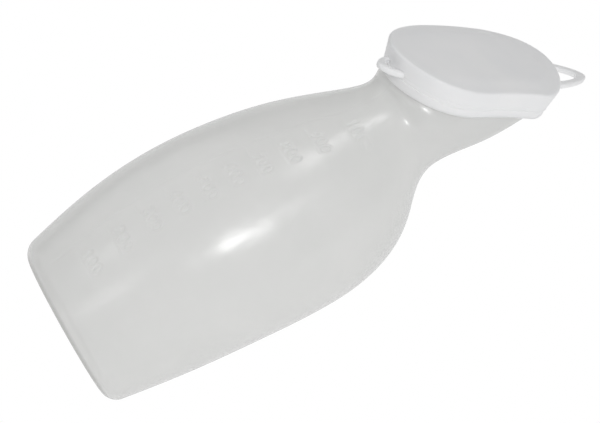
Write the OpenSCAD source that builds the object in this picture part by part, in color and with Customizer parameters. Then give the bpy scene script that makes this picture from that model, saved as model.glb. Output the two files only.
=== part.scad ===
// Urine bottle lying on its back: a blow-moulded bottle and the snap lid over its oval mouth.
// Millimetres, +Z up, +X towards the mouth, mirror plane at Y = 0.
// The origin is on the ground, in the middle of the flat strip along the bottle's back.

/* [Body] */
// Height of the base, back to front
base_height = 77.4; // [70:0.1:84]
// Width of the base, side to side
base_width = 81.4; // [74:0.1:88]
// Distance from the base to the place where the straight back ends
belly_at = 103; // [98:0.5:108]
// Height of the belly above the bottle's axis
belly_rise = 51.6; // [47:0.1:56]
// Full width of the belly
belly_width = 103.6; // [94:0.1:112]
// Angle between the straight back and the bottle's axis
back_angle = 5.8; // [4.5:0.1:7]
// How deep the flat strip is cut into the round back
back_flat = 1.4; // [0.8:0.1:2.5]
// Radius of the edge round the base
base_round = 6.4; // [4:0.1:9]
// Depth of the hollow under the base
base_hollow = 2; // [1:0.1:4]
// Thickness of the bottle's wall
wall = 1.3; // [1:0.1:1.8]

/* [Neck] */
// Distance from the base to the narrowest part of the neck
waist_at = 180; // [174:0.5:186]
// Height of the neck at its narrowest part
waist_height = 48.9; // [44:0.1:54]
// Width of the neck at its narrowest part
waist_width = 49.2; // [44:0.1:54]
// Distance from the base to the point halfway between the lid's two tips
mouth_at = 225.3; // [221:0.1:230]
// Height of the point halfway between the lid's two tips above the bottle's axis
mouth_rise = 26.8; // [24:0.1:30]
// Angle between the mouth's normal and the bottle's axis
mouth_angle = 55.2; // [51:0.1:59]
// Height of the snap bead round the mouth
bead_height = 3.4; // [2.5:0.1:4.5]

/* [Lid] */
// Length of the lid without its loops
lid_length = 93; // [89:0.1:97]
// Width of the lid
lid_width = 58.6; // [56:0.1:62]
// Length of the lid's rounded end over the bottle's front side
rear_nose = 36.7; // [33:0.1:40]
// Length of the lid's rounded end over the bottle's back side
front_nose = 22.4; // [19:0.1:26]
// Height of the lid's skirt, top edge to rim
lid_height = 14.9; // [13.5:0.1:16.5]
// How far the skirt draws in from its top to its rim
lid_draft = 1.85; // [0.5:0.05:2.5]
// Rise of the lid's edge halfway between its two tips, before its sides fall
long_bow = 3.5; // [1:0.1:4.5]
// Fall of the lid's long sides
side_bow = 5.56; // [3:0.02:6.5]
// Thickness of the lid's top plate
plate = 1.4; // [1:0.1:2]
// Thickness of the lid's skirt at its rim
skirt = 1.1; // [0.9:0.1:1.5]
// Radius of the lid's top edge
lid_round = 1.2; // [0.8:0.1:1.4]
// Running gap between the lid and the bottle's bead
lid_gap = 0.35; // [0.2:0.05:0.6]

/* [Loops] */
// How far the front loop reaches from the lid
front_reach = 34.5; // [30:0.5:40]
// How far the rear loop reaches from the lid
rear_reach = 9.4; // [8:0.1:12]
// Half of the front loop's width where it leaves the lid
front_root = 12.5; // [11:0.1:14]
// Half of the rear loop's width where it leaves the lid
rear_root = 7.6; // [6.5:0.1:9]
// Depth of the front loop's top face below the lid's tip
front_depth = 8.6; // [7:0.1:10.5]
// Depth of the rear loop's top face below the lid's tip
rear_depth = 6.6; // [5:0.1:9]
// Thickness of the loops
loop_thick = 3; // [1.6:0.1:3.4]
// Downward tilt of the front loop
front_droop = 2.2; // [0:0.1:5]
// Upward tilt of the rear loop
rear_lift = 6; // [0:0.5:10]

/* [Hidden] */

// Points round a section, and sections along the curved part of the bottle.
around = 40;
along = 36;
edge_steps = 4;
bead_steps = 6;

// Points round the lid, and steps of its rounded edge and of its loops' outlines.
lid_around = 80;
round_steps = 4;
loop_steps = 16;
root_steps = 10;
cut = 1;

// The bottle is drawn with its axis along X, from the base at 0. Then it is tipped back onto its flat strip.
rest_mid = 55;
lift = base_height / 2 * cos(back_angle) - back_flat;

// The standing ring round the hollow in the base: its width, and the width of the slope beside it.
foot = 3.5;
slope = 2.2;

// The lid's outline has rounded ends of two lengths joined by straight sides. The bead stands out from the
// neck under the skirt, and the mouth's rim stops short of the lid's plate.
lid_half = lid_length / 2;
lid_wide = lid_width / 2;
bead_out = 1.8;
rim_depth = plate + 0.6;
collar_depth = lid_height - 1.2;
groove_depth = 0.2;
groove_width = 0.8;
groove_at = 0.68 * lid_height;

// The lid's plate levels out to top_level over the distance level_over from its edge.
top_level = -0.8;
level_over = 9;

// How far the skirt's outside has drawn in at a depth below the lid's edge. Its inside is straight, so that
// the lid comes off over the bead.
function draft(depth) = lid_draft * depth / lid_height;
skirt_inset = lid_draft + skirt;
neck_inset = skirt_inset + lid_gap + bead_out;

// out points out of the mouth, and front points along the lid, away from the bottle's base.
out = [cos(mouth_angle), sin(mouth_angle)];
front = [sin(mouth_angle), -cos(mouth_angle)];
mouth = [mouth_at, mouth_rise];
lip = mouth - collar_depth * out;
lip_half = lid_half - neck_inset;
lip_half_width = lid_wide - neck_inset;
lip_top = lip - lip_half * front;
lip_back = lip + lip_half * front;

// The narrowest section leans forward at its back side, and the flare is part of the way from it to the lip.
waist_lean = 4;
waist_rise = 34.4;
waist_top = [waist_at - waist_lean, waist_rise];
waist_back = [waist_at + waist_lean, waist_rise - waist_height];
flare = 0.45;
flare_top = (1 - flare) * waist_top + flare * lip_top;
flare_back = (1 - flare) * waist_back + flare * lip_back;
flare_half_width = 1.09 * waist_width / 2;

// Height of the straight back at a distance from the base.
function back_at(x) = -base_height / 2 - x * tan(back_angle);

// Each station: its place on the loft, the top and back points [x, z] of its section in the mirror plane,
// half its width, and how far its outline has turned from an ellipse to the lid's.
stations = [
    [0.00, [0, base_height / 2], [0, back_at(0)], base_width / 2, 0],
    [0.16, [36.8, 0.93 * belly_rise], [36.8, back_at(36.8)], 0.929 * belly_width / 2, 0],
    [0.32, [73.6, belly_rise], [73.6, back_at(73.6)], 0.996 * belly_width / 2, 0],
    [0.45, [belly_at, 0.95 * belly_rise], [belly_at, back_at(belly_at)], belly_width / 2, 0],
    [0.59, [133.4, 0.826 * belly_rise], [136.2, -47.2], 0.923 * belly_width / 2, 0],
    [0.71, [158.2, 0.703 * belly_rise], [161.9, -33.4], 0.703 * belly_width / 2, 0],
    [0.82, waist_top, waist_back, waist_width / 2, 0],
    [0.90, flare_top, flare_back, flare_half_width, 0.4],
    [1.00, lip_top, lip_back, lip_half_width, 1]
];

// A natural cubic spline through the stations, with all the values of a station splined at once.
knots = [for (s = stations) s[0]];
values = [for (s = stations) [s[1].x, s[1].y, s[2].x, s[2].y, s[3], s[4]]];
last = len(knots) - 1;

function sweep(i, rows) =
    i == last ? rows :
    let (h0 = knots[i] - knots[i - 1])
    let (h1 = knots[i + 1] - knots[i])
    let (bend = (values[i + 1] - values[i]) / h1 - (values[i] - values[i - 1]) / h0)
    let (scale = 2 * (h0 + h1) - h0 * rows[i - 1][0])
    sweep(i + 1, concat(rows, [[h1 / scale, (6 * bend - h0 * rows[i - 1][1]) / scale]]));

function unwind(i, rows, found) =
    i < 0 ? found : unwind(i - 1, rows, concat([rows[i][1] - rows[i][0] * found[0]], found));

straight = 0 * values[0];
moments = unwind(last - 1, sweep(1, [[0, straight]]), [straight]);

function span(s, i = 1) = (i == last || s <= knots[i]) ? i : span(s, i + 1);

function station(s) =
    let (i = span(s))
    let (h = knots[i] - knots[i - 1])
    let (a = (knots[i] - s) / h)
    let (b = 1 - a)
    let (bend = (pow(a, 3) - a) * moments[i - 1] + (pow(b, 3) - b) * moments[i])
    a * values[i - 1] + b * values[i] + h * h / 6 * bend;

// A quarter of the lid's outline, from the tip of an end with the given nose to the middle of its side.
function lid_quarter(nose, part) =
    let (straight_side = lid_half - nose)
    let (arc = PI / 2 * sqrt((nose * nose + lid_wide * lid_wide) / 2))
    let (run = part * (arc + straight_side))
    run < arc
        ? [straight_side + nose * cos(90 * run / arc), lid_wide * sin(90 * run / arc)]
        : [straight_side - run + arc, lid_wide];

// The lid's outline: x runs towards its rear end. The turn goes from 0 at the rear tip to 180 at the front.
function lid_point(turn) =
    let (side = turn > 180 ? -1 : 1)
    let (folded = side < 0 ? 360 - turn : turn)
    let (p = folded > 90 ? lid_quarter(front_nose, (180 - folded) / 90) : lid_quarter(rear_nose, folded / 90))
    [folded > 90 ? -p.x : p.x, side * p.y];

// How far the lid's edge rises above its two tips: it bows up along the lid and falls at the sides.
function lid_bow(p) = long_bow * (1 - pow(p.x / lid_half, 2)) - side_bow * pow(p.y / lid_wide, 2);

// From the bottle's own axes to the ground. Nothing goes below the floor.
function place(x, y, z, floor) = [
    x * cos(back_angle) - z * sin(back_angle) - rest_mid,
    y,
    max(floor, x * sin(back_angle) + z * cos(back_angle) + lift)
];

// The last part of the neck takes on the bow of the lid's edge.
bow_from = 0.84;
function bow_part(s) = pow(max(0, s - bow_from) / (1 - bow_from), 2);

// A ring of points round the bottle at place s, drawn in by inset and moved along the axis by shift.
function body_ring(s, inset, shift, floor) =
    let (v = station(s))
    let (reach = [v[0] - v[2], v[1] - v[3]] / 2)
    let (half = norm(reach))
    let (along_top = reach / half)
    let (turned = max(0, min(1, v[5])))
    [for (i = [0 : around - 1])
        let (turn = 360 * i / around)
        let (oval = lid_point(turn))
        let (x = (half - inset) * ((1 - turned) * cos(turn) + turned * oval.x / lid_half))
        let (y = (v[4] - inset) * ((1 - turned) * sin(turn) + turned * oval.y / lid_wide))
        let (bow = bow_part(s) * lid_bow(oval))
        let (c = [v[0] + v[2], v[1] + v[3]] / 2 + x * along_top + bow * out)
        place(c.x + shift, y, c.y, floor)
    ];

// A ring round the mouth with count points: the lid's outline drawn in by inset, at a depth below its edge.
// level is how far the ring has gone from the bowed edge to the plate's level.
function mouth_ring(depth, inset, count = around, level = 0) =
    [for (i = [0 : count - 1])
        let (p = lid_point(360 * i / count))
        let (up = (1 - level) * lid_bow(p) + level * top_level - depth)
        let (c = mouth + up * out - p.x * (1 - inset / lid_half) * front)
        place(c.x, p.y * (1 - inset / lid_wide), c.y, 0)
    ];

// The rounded edge of the base, between the base and the side, drawn in by inset.
edge_s = base_round * knots[1] / values[1][0];

function edge_rings(inset, floor) =
    [for (i = [0 : edge_steps - 1])
        let (a = 90 * i / edge_steps)
        let (r = base_round - inset)
        let (x = base_round - r * cos(a))
        let (s = x * edge_s / base_round)
        body_ring(s, base_round - r * sin(a), 0, floor)
    ];

function base_rings(inset, floor) = [
    body_ring(0, base_round + foot + slope, base_hollow + inset, floor),
    body_ring(0, base_round + foot, inset, floor)
];

function side_rings(inset, floor) =
    [for (i = [0 : along]) body_ring(edge_s + (1 - edge_s) * i / along, inset, 0, floor)];

// The neck between the lip and the bead, the bead, and the rim.
neck_depths = [0.75 * collar_depth, 0.5 * collar_depth];
neck_rings = [for (depth = neck_depths) mouth_ring(depth, neck_inset)];
bead_rings = [for (i = [0 : bead_steps])
    let (a = 180 * i / bead_steps)
    let (depth = rim_depth + bead_height * (1 + cos(a)) / 2)
    mouth_ring(depth, neck_inset - bead_out * sin(a))
];
rim_rings = [for (depth = [rim_depth, neck_depths[1]]) mouth_ring(depth, neck_inset + wall)];

function backwards(rings) = [for (i = [len(rings) - 1 : -1 : 0]) rings[i]];

// The middle of a ring of points.
function middle(ring) = [for (i = [0 : len(ring) - 1]) 1 / len(ring)] * ring;

// Skins the rings one after another, and closes the first and the last with a fan round its middle.
module loft(rings) {
    n = len(rings);
    count = len(rings[0]);
    last = (n - 1) * count;
    points = [for (ring = rings) each ring, middle(rings[0]), middle(rings[n - 1])];
    sides = [for (k = [0 : n - 2], i = [0 : count - 1])
        let (j = (i + 1) % count)
        let (low = k * count)
        let (high = low + count)
        each [[low + i, high + j, high + i], [low + i, low + j, high + j]]
    ];
    ends = [for (i = [0 : count - 1])
        let (j = (i + 1) % count)
        each [[j, i, n * count], [last + i, last + j, n * count + 1]]
    ];
    polyhedron(points = points, faces = concat(sides, ends));
}

// The bottle: up the outside from the hollow in the base, over the bead, and back down the inside.
module bottle() {
    color([0.84, 0.84, 0.83, 0.8])
        loft(concat(
            base_rings(0, 0),
            edge_rings(0, 0),
            side_rings(0, 0),
            neck_rings,
            bead_rings,
            rim_rings,
            backwards(side_rings(wall, wall)),
            backwards(edge_rings(wall, wall)),
            backwards(base_rings(wall, wall))
        ));
}

// From the lid's own axes, with its top face up at 0 and its front end along +X, to its place on the mouth.
module on_mouth() {
    translate([-rest_mid, 0, lift])
        rotate([0, -back_angle, 0])
            translate([mouth.x, 0, mouth.y])
                rotate([0, 90 - mouth_angle, 0])
                    children();
}

// The lid's wall in section, as [inset from the outline, depth below the edge]: over the top, down the skirt
// with its shallow groove, and back up inside it to the underside of the plate.
plate_insets = [11, 9, 6.5, 4];
lid_wall = concat(
    [for (inset = plate_insets) [inset, 0]],
    [for (i = [0 : round_steps])
        let (a = 90 - 90 * i / round_steps)
        [lid_round * (1 - cos(a)), lid_round * (1 - sin(a))]
    ],
    [
        [draft(groove_at), groove_at],
        [draft(groove_at) + groove_depth, groove_at + groove_width / 2],
        [draft(groove_at + groove_width), groove_at + groove_width],
        [lid_draft, lid_height],
        [skirt_inset, lid_height],
        [skirt_inset, plate]
    ],
    [for (i = [len(plate_insets) - 1 : -1 : 0]) [plate_insets[i], plate]]
);

// How far a ring of the lid has levelled out, from 0 at the edge to 1 on the flat of the plate.
function level(inset) =
    let (t = max(0, min(1, (inset - lid_round) / level_over)))
    t * t * (3 - 2 * t);

module lid_shell() {
    loft(backwards([for (w = lid_wall) mouth_ring(w[1], w[0], lid_around, level(w[0]))]));
}

// A pointed arch: half its width falls from root to nothing over its reach, and a larger taper makes it
// blunter. closing holds the points that close its outline at its root.
fullness = 0.55;
function arch(root, reach, taper, closing) =
    let (half = [for (i = [0 : loop_steps])
        let (x = reach * sin(90 * i / loop_steps))
        [x, root * pow(max(0, 1 - pow(x / reach, taper)), fullness)]
    ])
    concat(half, [for (i = [loop_steps - 1 : -1 : 0]) [half[i].x, -half[i].y]], closing);

loop_taper = 1.2;
hole_taper = 1.6;

// A loop's root edge: it follows the lid's outline, at an inset from it.
function root_edge(root, nose, inset) =
    [for (i = [0 : root_steps])
        let (y = root * (2 * i / root_steps - 1))
        [-nose * (1 - inset / lid_half) * (1 - sqrt(1 - pow(y / (lid_wide - inset), 2))), y]
    ];

// A finger loop that starts at X = 0 inside the skirt's wall and points along +X, with its top face at Z = 0.
module loop_bar(root, reach, bar, web, nose, inset) {
    hole = root - bar;
    translate([0, 0, -loop_thick])
        difference() {
            linear_extrude(height = loop_thick)
                polygon(arch(root, reach, loop_taper, root_edge(root, nose, inset)));
            translate([0, 0, -cut])
                linear_extrude(height = loop_thick + 2 * cut)
                    polygon(arch(hole, reach - web, hole_taper, [[-root, -hole], [-root, hole]]));
        }
}

// Each loop's bars are this wide beside its hole, and its web is this wide at the tip.
front_bar = 4.3;
front_web = 7;
rear_bar = 3.2;
rear_web = 4.6;

// How far inside the lid's outline each loop starts, in the skirt's wall.
root_in = 0.7;
front_inset = draft(front_depth) + root_in;
rear_inset = draft(rear_depth) + root_in;

module lid_loops() {
    on_mouth() {
        translate([lid_half - front_inset, 0, -front_depth])
            rotate([0, front_droop, 0])
                loop_bar(front_root, front_reach, front_bar, front_web, front_nose, front_inset);
        mirror([1, 0, 0])
            translate([lid_half - rear_inset, 0, -rear_depth])
                rotate([0, -rear_lift, 0])
                    loop_bar(rear_root, rear_reach, rear_bar, rear_web, rear_nose, rear_inset);
    }
}

// The lid: a plate and skirt in one moulding with a pointed finger loop at each end.
module lid() {
    color([0.92, 0.92, 0.92]) {
        lid_shell();
        lid_loops();
    }
}

bottle();
lid();
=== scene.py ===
"""Looks of a urine bottle lying on its back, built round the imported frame.

The bottle's shape is worked out in millimetres along its own axis, as the frame's design does. Then it is
tipped back onto its flat strip. Meshes are made in metres in the row frame.
"""
import math

import bmesh
import bpy
import numpy as np
from mathutils import Matrix, Vector


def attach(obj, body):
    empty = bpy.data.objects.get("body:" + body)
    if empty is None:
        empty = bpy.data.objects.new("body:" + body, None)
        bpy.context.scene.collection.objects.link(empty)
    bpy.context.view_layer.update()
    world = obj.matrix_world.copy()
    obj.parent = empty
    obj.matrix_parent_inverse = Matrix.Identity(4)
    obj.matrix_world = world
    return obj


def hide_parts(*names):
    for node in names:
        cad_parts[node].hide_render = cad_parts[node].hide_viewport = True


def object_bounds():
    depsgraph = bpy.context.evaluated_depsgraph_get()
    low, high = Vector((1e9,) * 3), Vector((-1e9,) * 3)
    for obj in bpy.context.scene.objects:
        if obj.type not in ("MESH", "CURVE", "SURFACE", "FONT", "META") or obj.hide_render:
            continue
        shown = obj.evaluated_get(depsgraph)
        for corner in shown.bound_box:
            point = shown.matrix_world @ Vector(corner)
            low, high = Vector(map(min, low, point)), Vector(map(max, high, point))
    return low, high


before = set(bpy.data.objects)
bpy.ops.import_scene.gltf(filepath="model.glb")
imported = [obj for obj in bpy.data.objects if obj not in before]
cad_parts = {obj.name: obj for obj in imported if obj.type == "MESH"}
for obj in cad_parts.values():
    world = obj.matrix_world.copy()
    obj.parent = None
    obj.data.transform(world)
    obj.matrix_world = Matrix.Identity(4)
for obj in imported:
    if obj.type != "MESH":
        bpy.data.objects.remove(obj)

CAD_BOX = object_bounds()
MM = 0.001

# Sizes of the bottle, in millimetres and degrees. The driving ones are those of the frame's design.
BASE_HEIGHT = 77.4
BASE_WIDTH = 81.4
BELLY_AT = 103.0
BELLY_RISE = 51.6
BELLY_WIDTH = 103.6
BACK_ANGLE = 5.8
BACK_FLAT = 1.4
BASE_ROUND = 6.4
BASE_HOLLOW = 2.0
FOOT = 3.5
SLOPE = 2.2
WALL = 1.3
WAIST_KNOT = 0.82
WAIST_AT = 180.0
WAIST_HEIGHT = 48.9
WAIST_WIDTH = 49.2
WAIST_RISE = 34.4
WAIST_LEAN = 4.0
FLARE = 0.45
MOUTH = np.array([225.3, 26.8])
MOUTH_ANGLE = 55.17
BEAD_HEIGHT = 3.4
BEAD_OUT = 1.8
REST_MID = 55.0
BOW_FROM = 0.84

# The hollow in the base rises a little more towards its middle, over this inset from the base's rounded edge.
BASE_CROWN = 0.4
BASE_MIDDLE = 30
# The painted shade on the foot ends on the base's rounded edge, at these degrees round it.
SHADE_TO = 50
SHADE_FADE = 15
# The mouth's rim is rounded off, and the flat strip along the back has a soft border.
RIM_CROWN = 0.12
RIM_ROUND = 0.25
REST_SOFT = 0.35
REST_REACH = 6

# Sizes of the lid.
LID_HALF = 46.5
LID_WIDE = 29.3
REAR_NOSE = 36.67
FRONT_NOSE = 22.39
LONG_BOW = 3.5
SIDE_BOW = 5.56
TOP_LEVEL = -0.8
LEVEL_OVER = 9
LID_HEIGHT = 14.9
LID_DRAFT = 1.85
PLATE = 1.4
SKIRT = 1.1
LID_ROUND = 1.2
LID_GAP = 0.35
RIM_CLEAR = 0.6
COLLAR_SHORT = 1.2
SKIRT_ROUND = 0.4
SNAP_RIDGE = 0.2
SNAP_REACH = 1.2

# A groove round the skirt, and a fainter line above it.
GROOVE_AT = 0.68 * LID_HEIGHT
GROOVE_DEPTH = 0.3
LINE_AT = 0.55 * LID_HEIGHT
LINE_DEPTH = 0.14
GROOVE_WIDTH = 0.35
GROOVE_REACH = 0.8

# The finger loops' bars and outlines.
LOOP_THICK = 3.0
LOOP_TAPER = 1.2
HOLE_TAPER = 1.6
LOOP_FULLNESS = 0.55
BAR_SQUARENESS = 0.55
ROOT_IN = 0.7
ROOT_REACH = 6

# The raised scale. For its figures, rings are close together from SCALE_FROM to place SCALE_TO on the loft.
SCALE_FROM = 14
SCALE_TO = 0.675
STEP_ML = 100
STEPS = 10
DIGIT_HEIGHT = 4.4
DIGIT_WIDTH = 2.6
DIGIT_PITCH = 3.9
STROKE = 0.75
RAISED = 0.3
RAISED_LINE = 0.12
NUMBER_LEFT = -7.2
NUMBER_UP = 1.3
TICK_FROM = -3.0
TICK_TO = -17.5

# The mould's parting line: a fine seam along the bottle, and a ridge across the hollow in the base.
SEAM_RAISED = 0.09
SEAM_WIDTH = 0.4
SEAM_FADE = 0.03
BASE_SEAM_RAISED = 0.35
BASE_SEAM_WIDTH = 0.5

rim_depth = PLATE + RIM_CLEAR
collar_depth = LID_HEIGHT - COLLAR_SHORT
skirt_inset = LID_DRAFT + SKIRT
neck_inset = skirt_inset + LID_GAP + BEAD_OUT
back_slope = math.tan(math.radians(BACK_ANGLE))
lift = BASE_HEIGHT / 2 * math.cos(math.radians(BACK_ANGLE)) - BACK_FLAT
out = np.array([math.cos(math.radians(MOUTH_ANGLE)), math.sin(math.radians(MOUTH_ANGLE))])
front = np.array([out[1], -out[0]])


def back_at(x):
    """Height of the straight back at a distance from the base."""
    return -BASE_HEIGHT / 2 - x * back_slope


def mix(a, b, part):
    return (1 - part) * a + part * b


def draft(depth):
    """How far the lid's skirt has drawn in at a depth below its top."""
    return LID_DRAFT * depth / LID_HEIGHT


def make_stations():
    """Knots of the loft and the values there.

    The values are top x and z, back x and z, half the width, and the turn from an ellipse to the lid's shape.
    """
    lip = MOUTH - collar_depth * out
    lip_half = LID_HALF - neck_inset
    lip_top = lip - lip_half * front
    lip_back = lip + lip_half * front
    waist_top = np.array([WAIST_AT - WAIST_LEAN, WAIST_RISE])
    waist_back = np.array([WAIST_AT + WAIST_LEAN, WAIST_RISE - WAIST_HEIGHT])
    half = BELLY_WIDTH / 2
    rows = [
        (0.00, (0, BASE_HEIGHT / 2), (0, back_at(0)), BASE_WIDTH / 2, 0),
        (0.16, (36.8, 0.93 * BELLY_RISE), (36.8, back_at(36.8)), 0.929 * half, 0),
        (0.32, (73.6, BELLY_RISE), (73.6, back_at(73.6)), 0.996 * half, 0),
        (0.45, (BELLY_AT, 0.95 * BELLY_RISE), (BELLY_AT, back_at(BELLY_AT)), half, 0),
        (0.59, (133.4, 0.826 * BELLY_RISE), (136.2, -47.2), 0.923 * half, 0),
        (0.71, (158.2, 0.703 * BELLY_RISE), (161.9, -33.4), 0.703 * half, 0),
        (WAIST_KNOT, waist_top, waist_back, WAIST_WIDTH / 2, 0),
        (0.90, mix(waist_top, lip_top, FLARE), mix(waist_back, lip_back, FLARE), 1.09 * WAIST_WIDTH / 2, 0.4),
        (1.00, lip_top, lip_back, LID_WIDE - neck_inset, 1),
    ]
    return np.array([r[0] for r in rows]), np.array([[*r[1], *r[2], r[3], r[4]] for r in rows], float)


KNOTS, VALUES = make_stations()


def natural_moments(knots, values):
    """Second derivatives of the natural cubic spline through the stations."""
    gap = np.diff(knots)
    matrix = np.eye(len(knots))
    right = np.zeros_like(values)
    for i in range(1, len(knots) - 1):
        matrix[i, i - 1:i + 2] = gap[i - 1], 2 * (gap[i - 1] + gap[i]), gap[i]
        right[i] = 6 * ((values[i + 1] - values[i]) / gap[i] - (values[i] - values[i - 1]) / gap[i - 1])
    return np.linalg.solve(matrix, right)


MOMENTS = natural_moments(KNOTS, VALUES)


def station(s):
    """The stations' values at places s along the loft."""
    i = np.clip(np.searchsorted(KNOTS, s), 1, len(KNOTS) - 1)
    h = (KNOTS[i] - KNOTS[i - 1])[:, None]
    a = (KNOTS[i] - s)[:, None] / h
    b = 1 - a
    bend = (a ** 3 - a) * MOMENTS[i - 1] + (b ** 3 - b) * MOMENTS[i]
    return a * VALUES[i - 1] + b * VALUES[i] + h * h / 6 * bend


def quarter(nose, turn_part):
    """A quarter of the lid's outline, from the tip of an end with the given nose to the side's middle."""
    straight = LID_HALF - nose
    arc = math.pi / 2 * math.sqrt((nose ** 2 + LID_WIDE ** 2) / 2)
    run = turn_part * (arc + straight)
    angle = np.minimum(run / arc, 1) * math.pi / 2
    x = np.where(run < arc, straight + nose * np.cos(angle), straight - run + arc)
    return x, LID_WIDE * np.sin(angle)


def lid_outline(turn):
    """The lid's outline from its rear tip round to its front tip and back: x towards its rear, y across."""
    folded = np.where(turn > math.pi, 2 * math.pi - turn, turn)
    rear_x, rear_y = quarter(REAR_NOSE, np.minimum(folded / (math.pi / 2), 1))
    front_x, front_y = quarter(FRONT_NOSE, np.minimum((math.pi - folded) / (math.pi / 2), 1))
    at_front = folded > math.pi / 2
    y = np.where(at_front, front_y, rear_y)
    return np.where(at_front, -front_x, rear_x), np.where(turn > math.pi, -y, y)


def lid_bow(turn):
    """How far the lid's edge rises above its two tips, along the mouth's normal: its long sides bend down."""
    x, y = lid_outline(turn)
    return LONG_BOW * (1 - (x / LID_HALF) ** 2) - SIDE_BOW * (y / LID_WIDE) ** 2


def settle(points, floor):
    """From the bottle's own axes to the row frame, pressed flat softly where it meets the ground."""
    c, s = math.cos(math.radians(BACK_ANGLE)), math.sin(math.radians(BACK_ANGLE))
    x, y, z = points[..., 0], points[..., 1], points[..., 2]
    up = x * s + z * c + lift - floor
    up = np.where(up < REST_REACH, (up + np.sqrt(up * up + REST_SOFT * REST_SOFT)) / 2, up)
    return np.stack([x * c - z * s - REST_MID, y, up + floor], -1)


def body_rings(s, turn, inset, shift=0.0):
    """Rings round the bottle, in its own axes, at places s, drawn in by inset and moved along by shift."""
    v = station(s)
    inset = np.broadcast_to(inset, s.shape)
    reach = (v[:, 0:2] - v[:, 2:4]) / 2
    half = np.linalg.norm(reach, axis=1)
    along = reach / half[:, None]
    turned = np.clip(v[:, 5], 0, 1)[:, None]
    a, b = (half - inset)[:, None], (v[:, 4] - inset)[:, None]
    oval_x, oval_y = lid_outline(turn)
    x = a * ((1 - turned) * np.cos(turn) + turned * oval_x / LID_HALF)
    y = b * ((1 - turned) * np.sin(turn) + turned * oval_y / LID_WIDE)
    middle = (v[:, 0:2] + v[:, 2:4]) / 2
    shift = np.broadcast_to(shift, s.shape)
    bow = np.clip((s[:, None] - BOW_FROM) / (1 - BOW_FROM), 0, 1) ** 2 * lid_bow(turn)
    return np.stack([
        middle[:, 0:1] + shift[:, None] + x * along[:, 0:1] + bow * out[0],
        y,
        middle[:, 1:2] + x * along[:, 1:2] + bow * out[1],
    ], -1)


def mouth_rings(depth, inset, turn):
    """Rings round the mouth, in the bottle's own axes: the lid's outline at depths, drawn in by insets."""
    depth, inset = np.asarray(depth, float)[:, None], np.asarray(inset, float)[:, None]
    x, y = lid_outline(turn)
    x = x * (1 - inset / LID_HALF)
    y = y * (1 - inset / LID_WIDE)
    up = lid_bow(turn) - depth
    return np.stack([MOUTH[0] - x * front[0] + up * out[0], y, MOUTH[1] - x * front[1] + up * out[1]], -1)


def ellipse_arc(cx, cy, rx, ry, start, end, steps=10):
    turn = np.radians(np.linspace(start, end, steps + 1))
    return [(cx + rx * math.cos(t), cy + ry * math.sin(t)) for t in turn]


# Rounded figures drawn with strokes in a box 1 wide and 1 high.
FIGURES = {
    "0": [ellipse_arc(0.5, 0.5, 0.5, 0.5, 0, 360, 16)],
    "1": [[(0.25, 0.8), (0.55, 1.0), (0.55, 0.0)]],
    "2": [ellipse_arc(0.5, 0.72, 0.46, 0.28, 160, -35) + [(0.04, 0.0), (1.0, 0.0)]],
    "3": [ellipse_arc(0.45, 0.76, 0.42, 0.24, 150, -90), ellipse_arc(0.45, 0.27, 0.5, 0.27, 90, -150)],
    "4": [[(0.75, 0.0), (0.75, 1.0), (0.0, 0.3), (1.0, 0.3)]],
    "5": [[(0.9, 1.0), (0.15, 1.0), (0.1, 0.56)] + ellipse_arc(0.45, 0.32, 0.5, 0.32, 120, -150)],
    "6": [ellipse_arc(0.5, 0.3, 0.46, 0.3, 0, 360, 14), ellipse_arc(0.9, 0.36, 0.86, 0.64, 180, 100)],
    "7": [[(0.0, 1.0), (1.0, 1.0), (0.35, 0.0)]],
    "8": [ellipse_arc(0.5, 0.76, 0.38, 0.24, 0, 360, 14), ellipse_arc(0.5, 0.27, 0.48, 0.27, 0, 360, 14)],
    "9": [ellipse_arc(0.5, 0.7, 0.46, 0.3, 0, 360, 14), ellipse_arc(0.1, 0.64, 0.86, 0.64, 0, -80)],
}


def fill_heights():
    """Distance from the base of each step of the scale, from the volume inside the upright bottle."""
    s = np.linspace(0, WAIST_KNOT, 400)
    v = station(s)
    height = (v[:, 1] - v[:, 3]) / 2 - WALL
    area = math.pi * height * (v[:, 4] - WALL)
    x = (v[:, 0] + v[:, 2]) / 2
    volume = np.concatenate([[0], np.cumsum((area[1:] + area[:-1]) / 2 * np.diff(x))])
    foot_in = BASE_ROUND + FOOT
    hollow = BASE_HOLLOW * math.pi * (BASE_HEIGHT / 2 - foot_in) * (BASE_WIDTH / 2 - foot_in)
    wanted = STEP_ML * 1000.0 * np.arange(1, STEPS + 1) + hollow + area[0] * WALL
    return np.interp(wanted, volume, x)


def scale_strokes():
    """Strokes of the scale as (point, point, height), with points (x along the bottle, y across it)."""
    strokes = []
    for step, x in enumerate(fill_heights(), start=1):
        strokes.append(((x, TICK_FROM), (x, TICK_TO), RAISED_LINE))
        for place, figure in enumerate(str(step * STEP_ML)):
            left = NUMBER_LEFT - place * DIGIT_PITCH
            for line in FIGURES[figure]:
                at = [(x + NUMBER_UP + v * DIGIT_HEIGHT, left - u * DIGIT_WIDTH) for u, v in line]
                strokes += [(a, b, RAISED) for a, b in zip(at[:-1], at[1:])]
    return strokes


def raised_scale(x, y):
    """Height of the raised scale over points of the bottle's top."""
    height = np.zeros_like(x)
    for (ax, ay), (bx, by), raised in scale_strokes():
        near = (
            (x > min(ax, bx) - STROKE) & (x < max(ax, bx) + STROKE)
            & (y > min(ay, by) - STROKE) & (y < max(ay, by) + STROKE)
        )
        px, py = x[near] - ax, y[near] - ay
        dx, dy = bx - ax, by - ay
        part = np.clip((px * dx + py * dy) / (dx * dx + dy * dy), 0, 1)
        far = np.hypot(px - part * dx, py - part * dy)
        rise = np.clip((STROKE - far) / (0.75 * STROKE), 0, 1)
        height[near] = np.maximum(height[near], raised * rise * rise * (3 - 2 * rise))
    return height


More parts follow.
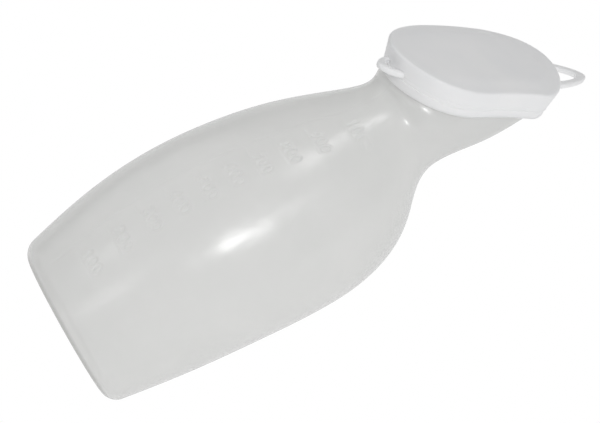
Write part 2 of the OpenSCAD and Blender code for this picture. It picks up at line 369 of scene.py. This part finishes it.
def ring_normals(points):
    """Unit normals of a skin of rings, outwards when the rings run from the base to the mouth."""
    around = np.roll(points, -1, 1) - np.roll(points, 1, 1)
    along = np.gradient(points, axis=0)
    normal = np.cross(around, along)
    length = np.linalg.norm(normal, axis=-1, keepdims=True)
    return normal / np.maximum(length, 1e-9)


def spread(*parts):
    """Places made of stretches (start, end, count), in order, each without its end."""
    return np.concatenate([np.linspace(a, b, n, endpoint=False) for a, b, n in parts])


def bottle_turns():
    """Angles round a section: close together across the scale, on the near top side, and the parting line."""
    scale_side = math.radians(26)
    seam = math.radians(1.6)
    return spread(
        (0, seam, 6),
        (seam, math.pi - seam, 64),
        (math.pi - seam, math.pi + seam, 8),
        (math.pi + seam, 2 * math.pi - scale_side, 52),
        (2 * math.pi - scale_side, 2 * math.pi - seam, 60),
        (2 * math.pi - seam, 2 * math.pi, 6),
    )


def bottle_mesh():
    turn = bottle_turns()
    per_mm = KNOTS[1] / VALUES[1, 0]
    edge_s = BASE_ROUND * per_mm
    scale_from = SCALE_FROM * per_mm

    # Outside, from the middle of the base to the lip.
    slope_steps = FOOT + SLOPE * np.array([1.2, 1, 0.8, 0.5, 0.2, 0])
    middle_steps = [BASE_MIDDLE, 26, 21, 16, 12, 9]
    base_inset = BASE_ROUND + np.concatenate([middle_steps, slope_steps, [2, 0.8]])
    base_rise = np.interp(
        base_inset - BASE_ROUND,
        [0, FOOT, FOOT + SLOPE, BASE_MIDDLE],
        [0, 0, BASE_HOLLOW, BASE_HOLLOW + BASE_CROWN],
    )
    edge_turn = np.linspace(0, 90, 16, endpoint=False)
    a = np.radians(edge_turn)
    edge_x = BASE_ROUND * (1 - np.cos(a))
    corner_inset = BASE_ROUND * (1 - np.sin(a))
    side_s = np.append(spread((edge_s, scale_from, 8), (scale_from, SCALE_TO, 270), (SCALE_TO, 1, 80)), 1)
    base = body_rings(np.zeros(len(base_inset)), turn, base_inset, base_rise)
    in_hollow = (base_inset > BASE_ROUND + FOOT)[:, None]
    base[..., 0] -= BASE_SEAM_RAISED * np.exp(-(base[..., 1] / BASE_SEAM_WIDTH) ** 2) * in_hollow
    edge = body_rings(edge_x * per_mm, turn, corner_inset)
    side = body_rings(side_s, turn, 0)
    normal = ring_normals(side)
    top = np.cos(turn) > 0
    rise = np.where(top, raised_scale(side[..., 0], side[..., 1]), 0)
    fade = np.clip((side_s - edge_s) / SEAM_FADE, 0, 1)[:, None]
    seam = SEAM_RAISED * fade * np.exp(-(side[..., 1] / SEAM_WIDTH) ** 2)
    side = side + normal * (rise + seam)[..., None]

    # The bead and the rim, then the inside, back down to the middle of the base.
    neck_depth = np.linspace(collar_depth, rim_depth + BEAD_HEIGHT, 8)[1:-1]
    bead = np.radians(np.linspace(0, 180, 15))
    bead_depth = rim_depth + BEAD_HEIGHT * (1 + np.cos(bead)) / 2
    bead_rings = mouth_rings(
        np.concatenate([neck_depth, bead_depth]),
        neck_inset - BEAD_OUT * np.append(np.zeros(len(neck_depth)), np.sin(bead)),
        turn,
    )
    rim = mouth_rings(
        rim_depth + np.array([-RIM_CROWN, -RIM_CROWN, 0, 3, 6]),
        neck_inset + np.array([RIM_ROUND, WALL - RIM_ROUND, WALL, WALL, WALL]),
        turn,
    )
    outside = settle(np.concatenate([base, edge, side, bead_rings, rim]), 0)
    inner_s = np.linspace(1, edge_s, 64)
    r = BASE_ROUND - WALL
    a = np.radians(np.linspace(80, 0, 8))
    inner_edge = body_rings((BASE_ROUND - r * np.cos(a)) * per_mm, turn, BASE_ROUND - r * np.sin(a))
    inner_base = body_rings(np.zeros(len(base_inset)), turn, base_inset[::-1], base_rise[::-1] + WALL)
    inside = settle(np.concatenate([body_rings(inner_s, turn, WALL), inner_edge, inner_base]), WALL)
    rings = np.concatenate([outside, inside]) * MM
    # Painted shade: the standing ring and the start of the rounded edge are marked for a darker colour, and
    # the mark fades out round the edge towards the side.
    painted_shade = np.zeros(len(rings))
    painted_shade[len(middle_steps):len(base)] = 1
    painted_shade[len(base):len(base) + len(edge)] = np.clip((SHADE_TO - edge_turn) / SHADE_FADE, 0, 1)
    return skin("bottle_skin", rings, painted_shade)


def skin(name, rings, painted_shade=None):
    """A closed mesh over rings of points, with a fan over the first ring and the last.

    The optional per-ring values are painted shade, which the material reads to darken the colour at each
    ring.
    """
    count, around, _ = rings.shape
    points = rings.reshape(-1, 3)
    first, last = rings[0].mean(0), rings[-1].mean(0)
    points = np.concatenate([points, [first, last]])
    k, i = np.meshgrid(np.arange(count - 1), np.arange(around), indexing="ij")
    j = (i + 1) % around
    low = k * around
    high = low + around
    quads = np.stack([low + i, low + j, high + j, high + i], -1).reshape(-1, 4)
    i = np.arange(around)
    j = (i + 1) % around
    end = (count - 1) * around
    fans = [(count * around, b, a) for a, b in zip(i, j)]
    fans += [(count * around + 1, end + a, end + b) for a, b in zip(i, j)]
    mesh = bpy.data.meshes.new(name)
    mesh.from_pydata(points.tolist(), [], quads.tolist() + [tuple(int(v) for v in f) for f in fans])
    if painted_shade is not None:
        layer = mesh.attributes.new("painted_shade", "FLOAT", "POINT")
        layer.data.foreach_set("value", np.append(np.repeat(painted_shade, around), [0, 0]))
    work = bmesh.new()
    work.from_mesh(mesh)
    bmesh.ops.remove_doubles(work, verts=work.verts, dist=1e-7)
    bmesh.ops.recalc_face_normals(work, faces=work.faces)
    work.to_mesh(mesh)
    work.free()
    return mesh


def shade(mesh, sharp_degrees):
    """Smooth shading, but for edges that turn by more than sharp_degrees."""
    work = bmesh.new()
    work.from_mesh(mesh)
    for face in work.faces:
        face.smooth = True
    for edge in work.edges:
        edge.smooth = len(edge.link_faces) == 2 and edge.calc_face_angle(0) < math.radians(sharp_degrees)
    work.to_mesh(mesh)
    work.free()


def place_on_mouth(points):
    """From the lid's own axes (top face up at 0, front end along +X) to the row frame, in millimetres."""
    x, y, z = points[..., 0], points[..., 1], points[..., 2]
    u = MOUTH[0] + x * front[0] + z * out[0]
    w = MOUTH[1] + x * front[1] + z * out[1]
    c, s = math.cos(math.radians(BACK_ANGLE)), math.sin(math.radians(BACK_ANGLE))
    return np.stack([u * c - w * s - REST_MID, y, u * s + w * c + lift], -1)


def lid_section():
    """The lid's wall in section as (inset, depth): over the top, down the skirt and back up inside it."""
    corner = np.radians(np.linspace(90, 0, 11))
    top = [(inset, 0) for inset in (25, 20, 15.5, 12, 9.5, 7.5, 5.5, 3.8, 2.8)]
    edge = [(LID_ROUND * (1 - math.cos(a)), LID_ROUND * (1 - math.sin(a))) for a in corner]
    groove = [
        (
            draft(depth)
            + GROOVE_DEPTH * math.exp(-((depth - GROOVE_AT) / GROOVE_WIDTH) ** 2)
            + LINE_DEPTH * math.exp(-((depth - LINE_AT) / GROOVE_WIDTH) ** 2),
            depth,
        )
        for depth in np.linspace(LINE_AT - GROOVE_REACH, GROOVE_AT + GROOVE_REACH, 26)
    ]
    low = LID_HEIGHT - SKIRT_ROUND
    rim_edge = [(SKIRT_ROUND * (1 - math.sin(a)), low + SKIRT_ROUND * math.cos(a)) for a in corner]
    rim = [(LID_DRAFT + inset, depth) for inset, depth in rim_edge[::-1]]
    rim += [(skirt_inset - inset, depth) for inset, depth in rim_edge]
    snap_at = rim_depth + BEAD_HEIGHT + SNAP_REACH
    snap = [
        (skirt_inset + SNAP_RIDGE * math.exp(-(2 * t) ** 2), snap_at - SNAP_REACH * t)
        for t in np.linspace(-1, 1, 9)
    ]
    fillet = [(skirt_inset + across, PLATE + down) for across, down in ((0.05, 0.7), (0.25, 0.2), (0.7, 0))]
    under = fillet + [(inset, PLATE) for inset in (4.4, 5.5, 7.5, 9.5, 12, 15.5, 20, 25)]
    return np.array(top + edge[1:] + groove + rim + snap + under)


def lid_shell_rings():
    """Rings of the lid, from the middle of its top over the skirt to the middle of its underside."""
    turn = np.linspace(0, 2 * math.pi, 288, endpoint=False)
    section = lid_section()
    inset, depth = section[:, :1], section[:, 1:]
    x, y = lid_outline(turn)
    inward = np.clip((inset - LID_ROUND) / LEVEL_OVER, 0, 1)
    inward = inward * inward * (3 - 2 * inward)
    z = mix(lid_bow(turn), TOP_LEVEL, inward) - depth
    x, y, z = np.broadcast_arrays(-x * (1 - inset / LID_HALF), y * (1 - inset / LID_WIDE), z)
    return place_on_mouth(np.stack([x, y, z], -1))


def arch(root, reach, steps, taper):
    """Half outline of a pointed arch from its root to its tip."""
    x = reach * np.sin(np.linspace(0, math.pi / 2, steps))
    return np.stack([x, root * np.maximum(0, 1 - (x / reach) ** taper) ** LOOP_FULLNESS], -1)


def loop_rings(root, reach, bar, web, depth, tilt, facing):
    """Rings along a finger loop: a rounded bar along a pointed arch, from one side of the skirt to the other.

    bar is its width at the skirt and web its width at the tip. Its top lies at a depth below the lid's tip.
    """
    steps = 30
    outer = arch(root, reach, steps, LOOP_TAPER)
    inner = arch(root - bar, reach - web, steps, HOLE_TAPER)
    outer = np.concatenate([outer, outer[-2::-1] * [1, -1]])
    inner = np.concatenate([inner, inner[-2::-1] * [1, -1]])
    turn = np.linspace(0, 2 * math.pi, 24, endpoint=False)
    across = np.sign(np.cos(turn)) * np.abs(np.cos(turn)) ** BAR_SQUARENESS
    up = np.sign(np.sin(turn)) * np.abs(np.sin(turn)) ** BAR_SQUARENESS
    middle, reach_out = (outer + inner) / 2, (outer - inner) / 2
    flat = middle[:, None, :] + reach_out[:, None, :] * across[None, :, None]
    z = np.broadcast_to(LOOP_THICK / 2 * (up - 1), flat.shape[:2])
    c, s = math.cos(math.radians(tilt)), math.sin(math.radians(tilt))
    inset = draft(depth) + ROOT_IN
    x = flat[..., 0] * c + z * s
    height = z * c - flat[..., 0] * s - depth
    y = flat[..., 1]
    nose = (FRONT_NOSE if facing > 0 else REAR_NOSE) * (1 - inset / LID_HALF)
    fall = nose * (1 - np.sqrt(1 - np.minimum(np.abs(y) / (LID_WIDE - inset), 1) ** 2))
    x = x + LID_HALF - inset - fall * np.clip(1 - flat[..., 0] / ROOT_REACH, 0, 1)
    return place_on_mouth(np.stack([facing * x, y, height], -1))


def new_piece(name, mesh, body, node, material):
    piece = bpy.data.objects.new(name, mesh)
    bpy.context.scene.collection.objects.link(piece)
    mesh.materials.append(material)
    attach(piece, body)
    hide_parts(node)


# Materials.

def node_tree(name):
    material = bpy.data.materials.new(name)
    material.use_nodes = True
    nodes = material.node_tree.nodes
    nodes.clear()
    return material, nodes, material.node_tree.links


def add(nodes, kind, **inputs):
    node = nodes.new(kind)
    for key, value in inputs.items():
        node.inputs[key.replace("_", " ")].default_value = value
    return node


def noise(nodes, links, coords, scale, detail=4.0):
    texture = add(nodes, "ShaderNodeTexNoise", Scale=scale, Detail=detail)
    links.new(coords.outputs["Object"], texture.inputs["Vector"])
    return texture.outputs["Fac"]


# The part of a noise's range that the colours and roughnesses are spread over.
NOISE_LOW = 0.3
NOISE_HIGH = 0.7


def ramp(nodes, links, value, low, high):
    """A colour that runs from low to high over a noise's range."""
    node = nodes.new("ShaderNodeValToRGB")
    node.color_ramp.elements[0].position = NOISE_LOW
    node.color_ramp.elements[1].position = NOISE_HIGH
    node.color_ramp.elements[0].color = (*low, 1)
    node.color_ramp.elements[1].color = (*high, 1)
    links.new(value, node.inputs["Fac"])
    return node.outputs["Color"]


def map_range(nodes, links, value, low, high):
    """A number that runs from low to high over a noise's range."""
    node = add(nodes, "ShaderNodeMapRange", From_Min=NOISE_LOW, From_Max=NOISE_HIGH, To_Min=low, To_Max=high)
    links.new(value, node.inputs["Value"])
    return node.outputs["Result"]


def bump(nodes, links, value, distance, strength=1.0, below=None):
    node = add(nodes, "ShaderNodeBump", Strength=strength, Distance=distance)
    links.new(value, node.inputs["Height"])
    if below is not None:
        links.new(below, node.inputs["Normal"])
    return node.outputs["Normal"]


def mix_shader(nodes, links, factor, a, b):
    node = nodes.new("ShaderNodeMixShader")
    if isinstance(factor, float):
        node.inputs["Fac"].default_value = factor
    else:
        links.new(factor, node.inputs["Fac"])
    links.new(a, node.inputs[1])
    links.new(b, node.inputs[2])
    return node.outputs["Shader"]


def translucent_polyethylene():
    """Milky blow-moulded plastic: light soaks through, a little passes straight, and the skin is glossy."""
    material, nodes, links = node_tree("translucent_polyethylene")
    coords = nodes.new("ShaderNodeTexCoord")
    cloudy = noise(nodes, links, coords, 26.0)
    waves = noise(nodes, links, coords, 55.0, 2.0)
    grain = noise(nodes, links, coords, 1400.0, 3.0)
    colour = ramp(nodes, links, cloudy, (0.878, 0.883, 0.873), (0.912, 0.912, 0.903))
    # Painted shade: a darker grey is mixed into the colour where the mesh's per-ring attribute marks the
    # standing ring and the base's edge.
    painted_shade = nodes.new("ShaderNodeAttribute")
    painted_shade.attribute_name = "painted_shade"
    darker = nodes.new("ShaderNodeMix")
    darker.data_type = "RGBA"
    factor, near, far = (darker.inputs[i] for i in (0, 6, 7))
    far.default_value = (0.62, 0.62, 0.61, 1)
    links.new(painted_shade.outputs["Fac"], factor)
    links.new(colour, near)
    colour = darker.outputs[2]
    normal = bump(nodes, links, waves, 0.0012, 0.35)
    normal = bump(nodes, links, grain, 0.00006, 0.5, normal)

    diffuse = nodes.new("ShaderNodeBsdfPrincipled")
    diffuse.inputs["Specular IOR Level"].default_value = 0.0
    diffuse.inputs["Roughness"].default_value = 0.6
    links.new(colour, diffuse.inputs["Base Color"])
    links.new(normal, diffuse.inputs["Normal"])
    through = nodes.new("ShaderNodeBsdfTranslucent")
    links.new(colour, through.inputs["Color"])
    clear = add(nodes, "ShaderNodeBsdfTransparent", Color=(1, 1, 1, 1))
    milky = mix_shader(nodes, links, 0.5, diffuse.outputs["BSDF"], through.outputs["BSDF"])
    slant = add(nodes, "ShaderNodeLayerWeight", Blend=0.5)
    see_through = add(nodes, "ShaderNodeMapRange", From_Min=0.0, From_Max=0.9, To_Min=0.2, To_Max=0.0)
    links.new(slant.outputs["Facing"], see_through.inputs["Value"])
    body = mix_shader(nodes, links, see_through.outputs["Result"], milky, clear.outputs["BSDF"])

    gloss = nodes.new("ShaderNodeBsdfGlossy")
    links.new(map_range(nodes, links, cloudy, 0.2, 0.27), gloss.inputs["Roughness"])
    links.new(normal, gloss.inputs["Normal"])
    fresnel = add(nodes, "ShaderNodeFresnel", IOR=1.5)
    links.new(normal, fresnel.inputs["Normal"])
    skin_side = mix_shader(nodes, links, fresnel.outputs["Fac"], body, gloss.outputs["BSDF"])
    # A wall has two skins, and each ray is scattered once in crossing it, by the skin it meets from outside.
    side = nodes.new("ShaderNodeNewGeometry")
    surface = mix_shader(nodes, links, side.outputs["Backfacing"], skin_side, clear.outputs["BSDF"])
    output = nodes.new("ShaderNodeOutputMaterial")
    links.new(surface, output.inputs["Surface"])
    return material


def white_polyethylene():
    """Opaque injection-moulded plastic with a fine satin grain."""
    material, nodes, links = node_tree("white_polyethylene")
    coords = nodes.new("ShaderNodeTexCoord")
    cloudy = noise(nodes, links, coords, 40.0)
    grain = noise(nodes, links, coords, 1800.0, 3.0)
    colour = ramp(nodes, links, cloudy, (0.86, 0.865, 0.875), (0.9, 0.9, 0.905))
    plastic = nodes.new("ShaderNodeBsdfPrincipled")
    links.new(colour, plastic.inputs["Base Color"])
    links.new(map_range(nodes, links, cloudy, 0.42, 0.52), plastic.inputs["Roughness"])
    links.new(bump(nodes, links, grain, 0.00008, 0.6), plastic.inputs["Normal"])
    plastic.inputs["Subsurface Weight"].default_value = 0.25
    plastic.inputs["Subsurface Scale"].default_value = 0.002
    plastic.inputs["Subsurface Radius"].default_value = (1, 1, 1)
    output = nodes.new("ShaderNodeOutputMaterial")
    links.new(plastic.outputs["BSDF"], output.inputs["Surface"])
    return material


def camera_white(nodes, links, shader):
    """White to the camera, and the given shader to every other ray."""
    path = nodes.new("ShaderNodeLightPath")
    white = add(nodes, "ShaderNodeEmission", Color=(1, 1, 1, 1), Strength=1.0)
    return mix_shader(nodes, links, path.outputs["Is Camera Ray"], shader, white.outputs["Emission"])


def floor_material():
    material, nodes, links = node_tree("pale_floor")
    diffuse = add(nodes, "ShaderNodeBsdfDiffuse", Color=(0.9, 0.9, 0.9, 1))
    glow = add(nodes, "ShaderNodeEmission", Color=(1, 1, 1, 1), Strength=1.1)
    lit = mix_shader(nodes, links, 0.6, diffuse.outputs["BSDF"], glow.outputs["Emission"])
    output = nodes.new("ShaderNodeOutputMaterial")
    links.new(camera_white(nodes, links, lit), output.inputs["Surface"])
    return material


# Pieces.

bottle_finish = translucent_polyethylene()
lid_finish = white_polyethylene()

mesh = bottle_mesh()
shade(mesh, 60)
new_piece("bottle_shell", mesh, "bottle_body", "bottle", bottle_finish)

mesh = skin("lid_skin", lid_shell_rings() * MM)
shade(mesh, 50)
new_piece("lid_shell", mesh, "lid_body", "lid", lid_finish)
for name, size in (
    ("front_loop", dict(root=12.5, reach=34.5, bar=4.3, web=7.0, depth=8.6, tilt=2.2, facing=1)),
    ("rear_loop", dict(root=7.6, reach=9.4, bar=3.2, web=4.6, depth=6.6, tilt=-6, facing=-1)),
):
    mesh = skin(name, loop_rings(**size) * MM)
    shade(mesh, 70)
    new_piece(name, mesh, "lid_body", "lid", lid_finish)


# Stage: floor, light and camera.

def make_floor(low):
    bpy.ops.mesh.primitive_plane_add(size=FLOOR_SIZE, location=(0, 0, low - FLOOR_GAP))
    floor = bpy.context.object
    floor.name = "floor"
    floor.data.materials.append(floor_material())


def direction(azimuth, elevation):
    """Unit vector towards a place in the sky. Azimuth 0 is the -Y side, and elevation is from the ground."""
    a, e = math.radians(azimuth), math.radians(elevation)
    return Vector((math.sin(a) * math.cos(e), -math.cos(a) * math.cos(e), math.sin(e)))


def area_light(name, azimuth, elevation, power, width, height, roll=0):
    """A flat soft light at LIGHT_DISTANCE from the camera's target, turned to face it."""
    data = bpy.data.lights.new(name, "AREA")
    data.shape = "ELLIPSE"
    data.size = width
    data.size_y = height
    data.energy = power
    light = bpy.data.objects.new(name, data)
    bpy.context.scene.collection.objects.link(light)
    back = direction(azimuth, elevation)
    light.location = CAMERA_TARGET + LIGHT_DISTANCE * back
    turn = back.to_track_quat("Z", "Y").to_matrix() @ Matrix.Rotation(math.radians(roll), 3, "Z")
    light.rotation_euler = turn.to_euler()


def make_world(strength):
    world = bpy.data.worlds.new("studio")
    world.use_nodes = True
    world.node_tree.nodes["Background"].inputs["Color"].default_value = (1, 1, 1, 1)
    world.node_tree.nodes["Background"].inputs["Strength"].default_value = strength
    bpy.context.scene.world = world


def make_camera(target, azimuth, elevation, distance, roll, lens):
    data = bpy.data.cameras.new("camera")
    data.lens = lens
    data.sensor_width = 36
    camera = bpy.data.objects.new("camera", data)
    bpy.context.scene.collection.objects.link(camera)
    back = direction(azimuth, elevation)
    camera.location = target + distance * back
    turn = back.to_track_quat("Z", "Y").to_matrix() @ Matrix.Rotation(math.radians(roll), 3, "Z")
    camera.rotation_euler = turn.to_euler()
    bpy.context.scene.camera = camera


CAMERA_TARGET = Vector((64.7, -5.0, 45.0)) * MM
LIGHT_DISTANCE = 0.8
FLOOR_SIZE = 6
FLOOR_GAP = 0.0002
make_floor(CAD_BOX[0][2])
make_world(0.31)
area_light("key", 5, 46, 1.3, 0.14, 0.06)
area_light("window", 12, 48.5, 0.6, 0.6, 0.12, 12)
area_light("side", -54, 44, 0.2, 0.12, 0.08)
area_light("low", -65, 28, 0.12, 0.08, 0.08)
area_light("left", -105, 58, 0.15, 0.14, 0.1)
area_light("end", -88, 12, 0.35, 0.3, 0.3)
area_light("top", 94, 60.5, 0.55, 0.34, 0.03, -26)
area_light("back", -170, 38, 0.8, 0.7, 0.7)
area_light("front", -10, 14, 0.25, 0.7, 0.4)
make_camera(CAMERA_TARGET, azimuth=-20.16, elevation=48.09, distance=0.5884, roll=-10.33, lens=75.26)
bpy.context.scene.view_settings.view_transform = "Standard"
